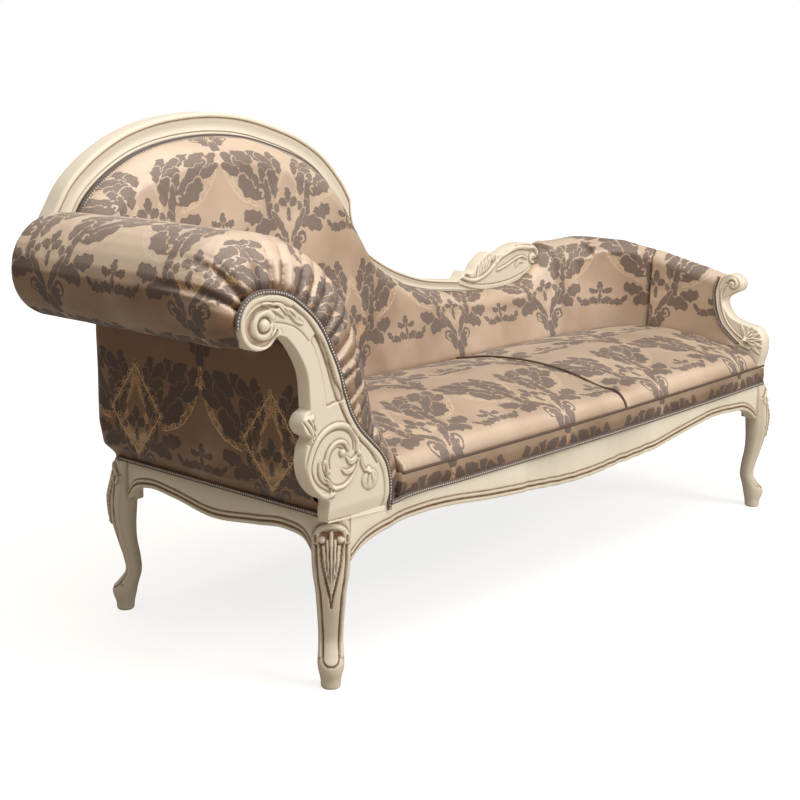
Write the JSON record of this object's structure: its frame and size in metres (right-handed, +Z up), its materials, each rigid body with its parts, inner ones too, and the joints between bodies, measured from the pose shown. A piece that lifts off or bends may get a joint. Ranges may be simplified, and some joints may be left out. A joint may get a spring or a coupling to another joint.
{
  "type": "chaise longue",
  "caption": "Chaise longue with a rolled head arm, arched show-wood back that sweeps down to a low scrolled foot arm, upholstered seat and carved cabriole legs.",
  "frame": {"origin": "centre of the footprint's box, on the floor under the feet", "axes": "+X runs along the seat from the rolled head arm to the foot arm, +Y to the back, +Z up"},
  "size_m": [2.0259, 0.698, 1.0807],
  "materials": {
    "ivory_wood": "ivory paint with a brown glaze in the carving, satin",
    "frame_wood": "plain planed hardwood",
    "steel": "zinc plated",
    "webbing": "woven elastic webbing",
    "lining": "plain non-woven lining and filling",
    "damask": "satin jacquard, champagne ground with taupe damask leaves",
    "piping": "dark brown cord covered in cloth",
    "gimp": "narrow woven braid"
  },
  "bodies": {
    "root": {"leg_head_front": "ivory_wood", "leg_foot_front": "ivory_wood", "leg_head_back": "ivory_wood", "leg_foot_back": "ivory_wood", "front_rail": "ivory_wood", "back_rail": "ivory_wood", "head_rail": "ivory_wood", "foot_rail": "ivory_wood", "head_arm_post": "ivory_wood", "back_frame": "ivory_wood", "back_crest": "ivory_wood", "foot_arm_post": "ivory_wood", "corner_blocks": "frame_wood", "seat_slats": "frame_wood", "head_arm_rear_board": "frame_wood", "head_arm_rails": "frame_wood", "head_roll_core": "frame_wood", "back_uprights": "frame_wood", "low_back_rail": "frame_wood", "foot_arm_rail": "frame_wood", "leg_bolts": "steel", "seat_webbing_cross": "webbing", "seat_webbing_long": "webbing", "dust_cover": "lining", "seat_foam": "lining", "seat_pad_head": "damask", "seat_pad_foot": "damask", "seat_border": "damask", "seat_seam_welt": "piping", "seat_piping": "piping", "head_arm_pad": "damask", "head_outside_panel": "damask", "back_pad_high": "damask", "back_pad_low": "damask", "foot_corner_pad": "damask", "foot_arm_pad": "damask", "foot_outside_panel": "damask", "outside_back": "damask", "front_gimp": "gimp", "arch_gimp": "gimp", "head_arm_gimp": "gimp", "head_side_gimp": "gimp", "foot_post_gimp": "gimp", "back_gimp": "gimp"}
  },
  "joints": []
}
